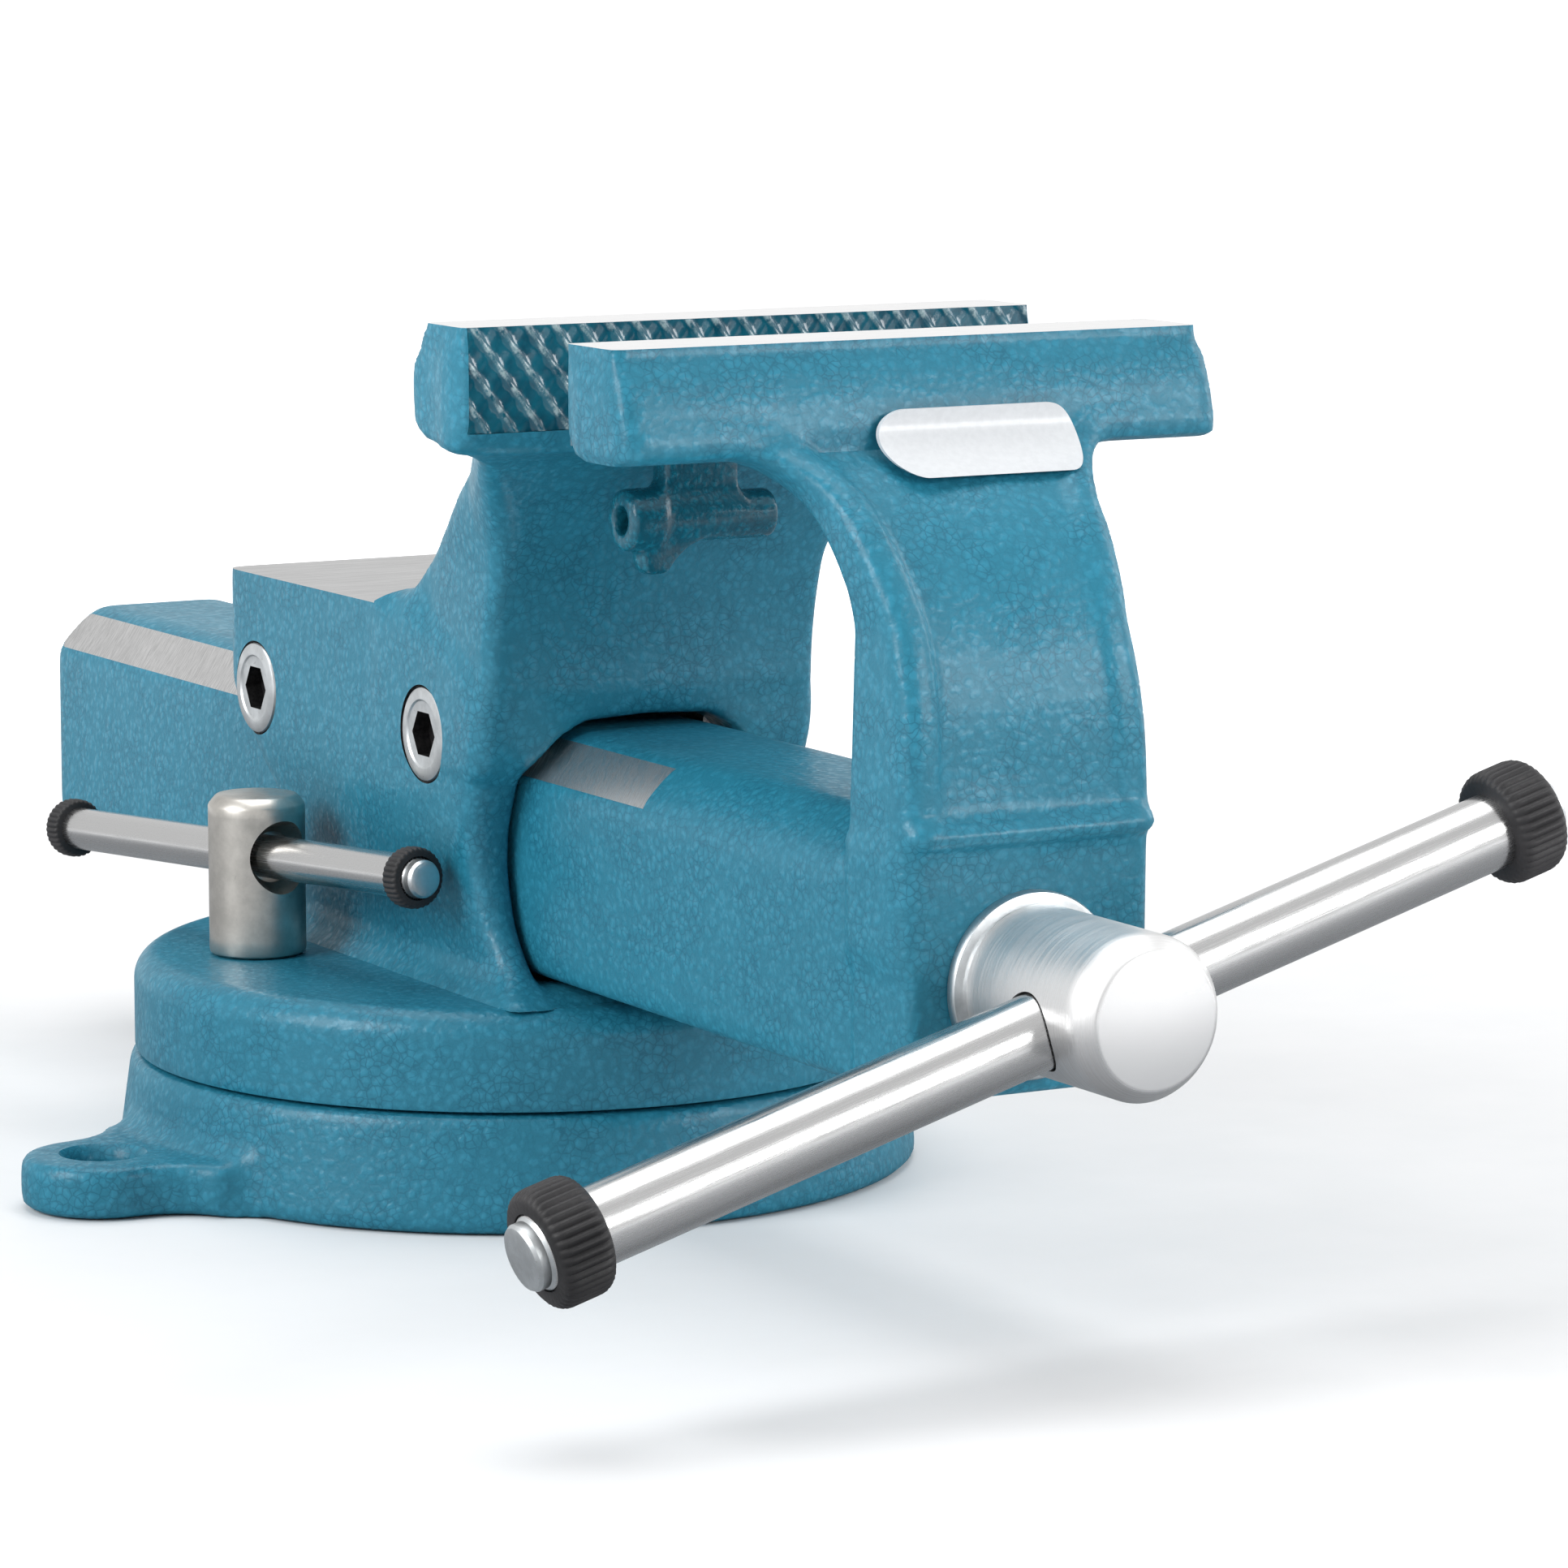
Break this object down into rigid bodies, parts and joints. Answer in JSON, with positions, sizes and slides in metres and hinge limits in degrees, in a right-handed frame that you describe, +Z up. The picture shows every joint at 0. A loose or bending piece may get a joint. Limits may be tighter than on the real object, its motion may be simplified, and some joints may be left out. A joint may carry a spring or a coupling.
{
  "type": "bench vise",
  "caption": "Steel bench vise with a sliding front jaw, arched throat, screw spindle with sliding bar handle, small anvil and a lockable swivel base.",
  "frame": {"origin": "swivel axis on the underside of the base, at rest", "axes": "+Z up; +Y along the slide from the user to the rear; +X to the user's right"},
  "size_m": [0.2532, 0.4835, 0.204],
  "materials": {
    "paint": "glossy teal-blue hammered enamel",
    "ground_steel": "ground, fine brush lines",
    "turned_steel": "satin turned steel",
    "polished_steel": "bright polished bar steel",
    "satin_nickel": "satin nickel plate",
    "zinc": "pale zinc plate",
    "black_oxide": "black oxide",
    "bronze": "cast bronze, machined",
    "rubber": "matt black, ribbed"
  },
  "bodies": {
    "base": {"base_plate": "paint", "pivot_bolt": "black_oxide", "pivot_washer": "zinc"},
    "turntable": {"swivel_disc": "paint", "clamp_nut": "zinc", "vise_body": "paint", "disc_bolts": "black_oxide", "guide_strip_left": "ground_steel", "guide_strip_right": "ground_steel", "guide_screws_left": "zinc", "guide_screws_right": "zinc", "spindle_nut": "bronze", "nut_screw": "black_oxide", "pipe_jaw_rear": "paint"},
    "moving_jaw": {"front_jaw": "paint", "pipe_jaw_front": "paint", "thrust_washer": "zinc"},
    "spindle": {"spindle": "turned_steel", "retaining_collar": "zinc", "collar_pin": "black_oxide"},
    "handle": {"handle_bar": "polished_steel", "handle_ring_left": "rubber", "handle_ring_right": "rubber"},
    "lock_screw": {"lock_screw": "satin_nickel"},
    "lock_bar": {"lock_bar": "polished_steel", "lock_ring_front": "rubber", "lock_ring_rear": "rubber"}
  },
  "joints": [
    {"name": "swivel", "type": "hinge", "parent": "base", "child": "turntable", "pos_m": [0, 0, 0.03], "axis": [0, 0, 1], "continuous": true},
    {"name": "jaw_slide", "type": "slide", "parent": "turntable", "child": "moving_jaw", "axis": [0, -1, 0], "range_m": [-0.0452, 0.1502]},
    {"name": "spindle_turn", "type": "hinge", "parent": "moving_jaw", "child": "spindle", "pos_m": [0, -0.254, 0.076], "axis": [0, -1, 0], "range_deg": [-2700, 9000]},
    {"name": "handle_slide", "type": "slide", "parent": "spindle", "child": "handle", "axis": [0.9603, 0, 0.279], "range_m": [-0.081, 0.101]},
    {"name": "lock_turn", "type": "hinge", "parent": "turntable", "child": "lock_screw", "pos_m": [-0.0584, 0.0179, 0.07], "axis": [0, 0, 1], "range_deg": [-15, 1]},
    {"name": "lock_bar_slide", "type": "slide", "parent": "lock_screw", "child": "lock_bar", "axis": [-0.139, 0.9892, -0.0471], "range_m": [-0.008, 0.048]}
  ],
  "couplings": [
    {"joint": "jaw_slide", "follows": "spindle_turn", "m_per_rad": 0.00095493}
  ]
}
